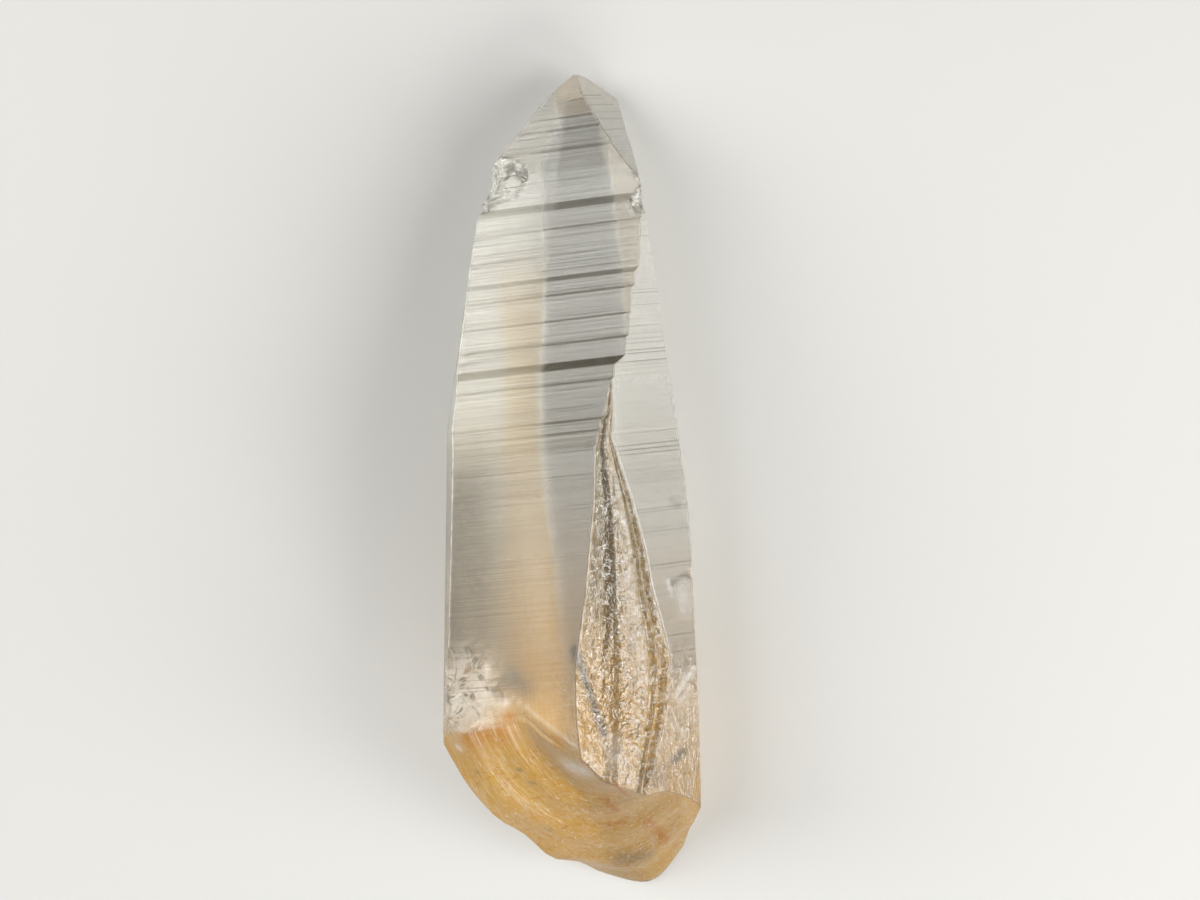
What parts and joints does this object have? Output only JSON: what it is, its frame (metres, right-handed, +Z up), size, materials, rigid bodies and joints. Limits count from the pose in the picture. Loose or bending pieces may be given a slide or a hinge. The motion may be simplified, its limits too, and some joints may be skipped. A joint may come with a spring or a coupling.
{
  "type": "lemurian quartz crystal",
  "caption": "Natural lemurian seed quartz crystal lying on a prism face: six-sided, stepped cross striations, blunt point, etched bevel and a broken amber base.",
  "frame": {"origin": "centre of the box's underside, on the surface that the crystal lies on", "axes": "+Y along the crystal's long axis towards its point, +Z up, out of the striated front face, +X towards the smooth upper right face"},
  "size_m": [0.0348, 0.1128, 0.0265],
  "materials": {
    "quartz": "natural satin"
  },
  "bodies": {
    "root": {"quartz_crystal": "quartz"}
  },
  "joints": []
}
